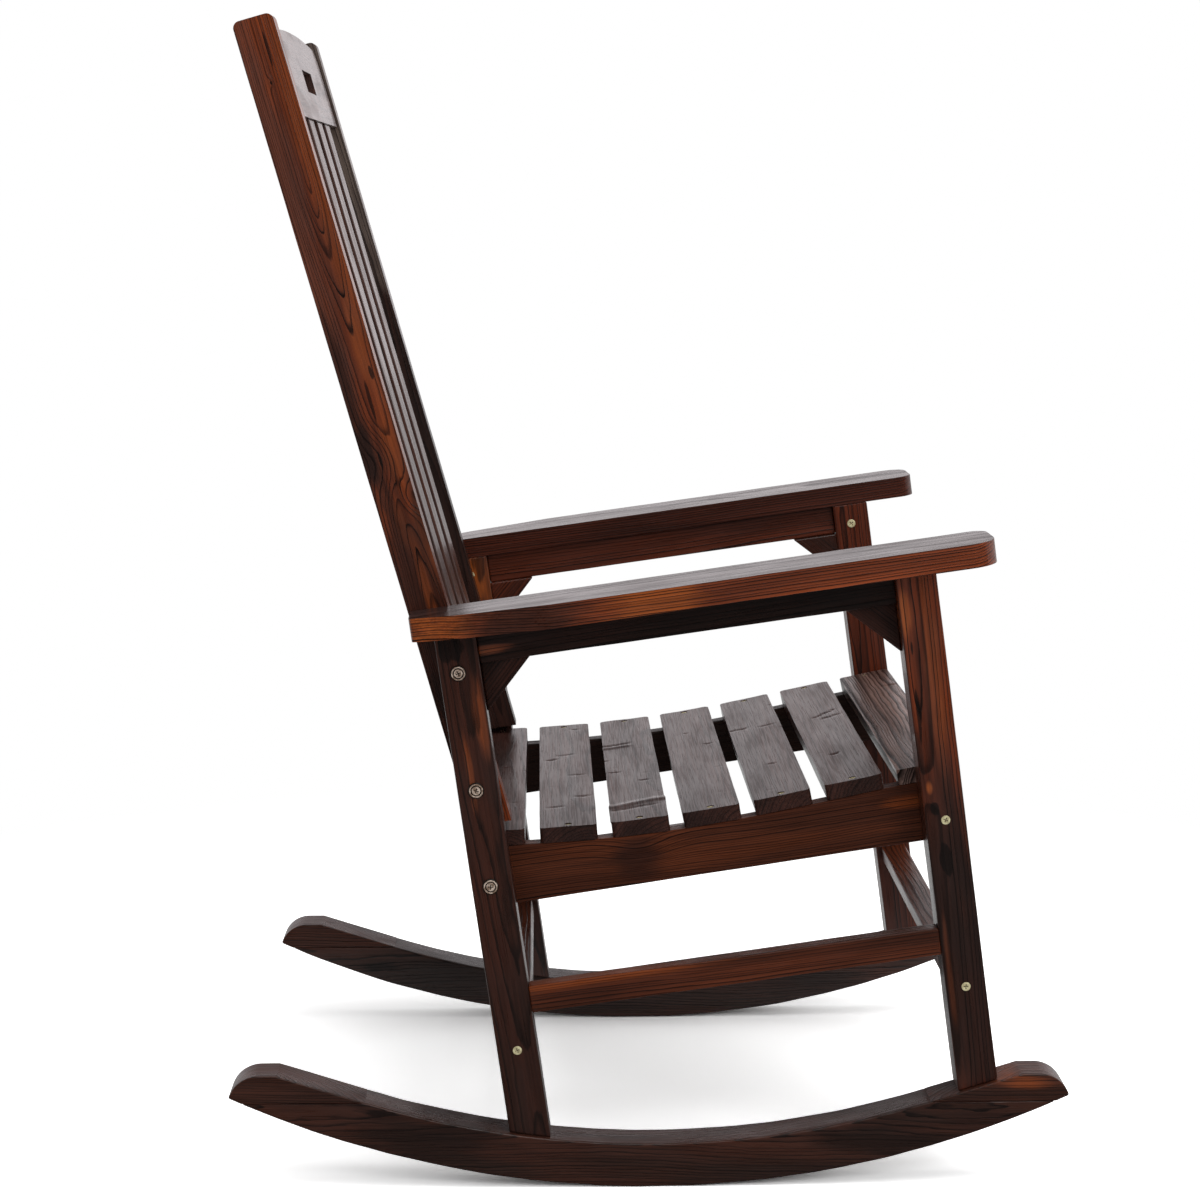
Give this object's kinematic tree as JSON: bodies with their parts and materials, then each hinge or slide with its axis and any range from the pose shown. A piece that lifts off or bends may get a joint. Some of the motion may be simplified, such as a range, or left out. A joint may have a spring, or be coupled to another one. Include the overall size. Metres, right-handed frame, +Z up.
{
  "type": "outdoor rocking chair",
  "caption": "Slatted wooden porch rocker with a high leaning back, broad armrests, a dished slat seat, a headrest with a finger slot and curved runners under the legs.",
  "frame": {"origin": "on the floor, midway between the rockers and midway between their tips", "axes": "+X to the sitter's left, -Y to the front, +Z up"},
  "size_m": [0.65, 0.8332, 1.1427],
  "materials": {
    "rocker_wood": "gloss lacquer on heat-darkened softwood",
    "leg_wood": "gloss lacquer on heat-darkened softwood",
    "rail_wood": "gloss lacquer on heat-darkened softwood",
    "armrest_wood": "gloss lacquer on heat-darkened softwood",
    "post_wood": "gloss lacquer on heat-darkened softwood",
    "seat_wood": "gloss lacquer on heat-darkened softwood",
    "back_wood": "gloss lacquer on heat-darkened softwood",
    "bolt_metal": "yellow zinc plate",
    "screw_metal": "yellow zinc plate",
    "dowel_wood": "bare wood"
  },
  "bodies": {
    "root": {"rocker_left": "rocker_wood", "rocker_block_front_left": "rocker_wood", "rocker_block_rear_left": "rocker_wood", "front_leg_left": "leg_wood", "rear_leg_left": "leg_wood", "side_stretcher_left": "rail_wood", "seat_rail_left": "rail_wood", "arm_rail_left": "rail_wood", "arm_brace_front_left": "rail_wood", "arm_brace_rear_left": "rail_wood", "armrest_left": "armrest_wood", "back_post_left": "post_wood", "rocker_right": "rocker_wood", "rocker_block_front_right": "rocker_wood", "rocker_block_rear_right": "rocker_wood", "front_leg_right": "leg_wood", "rear_leg_right": "leg_wood", "side_stretcher_right": "rail_wood", "seat_rail_right": "rail_wood", "arm_rail_right": "rail_wood", "arm_brace_front_right": "rail_wood", "arm_brace_rear_right": "rail_wood", "armrest_right": "armrest_wood", "back_post_right": "post_wood", "front_stretcher": "rail_wood", "rear_stretcher": "rail_wood", "seat_slat_1": "seat_wood", "seat_slat_2": "seat_wood", "seat_slat_3": "seat_wood", "seat_slat_4": "seat_wood", "seat_slat_5": "seat_wood", "seat_slat_6": "seat_wood", "seat_slat_7": "seat_wood", "back_slat_1": "back_wood", "back_slat_2": "back_wood", "back_slat_3": "back_wood", "headrest": "back_wood", "lower_back_rail": "back_wood", "post_bolts": "bolt_metal", "frame_screws": "screw_metal", "arm_screws": "screw_metal", "seat_screws": "screw_metal", "rocker_screws": "screw_metal", "frame_dowels": "dowel_wood", "back_dowels": "dowel_wood"}
  },
  "joints": []
}
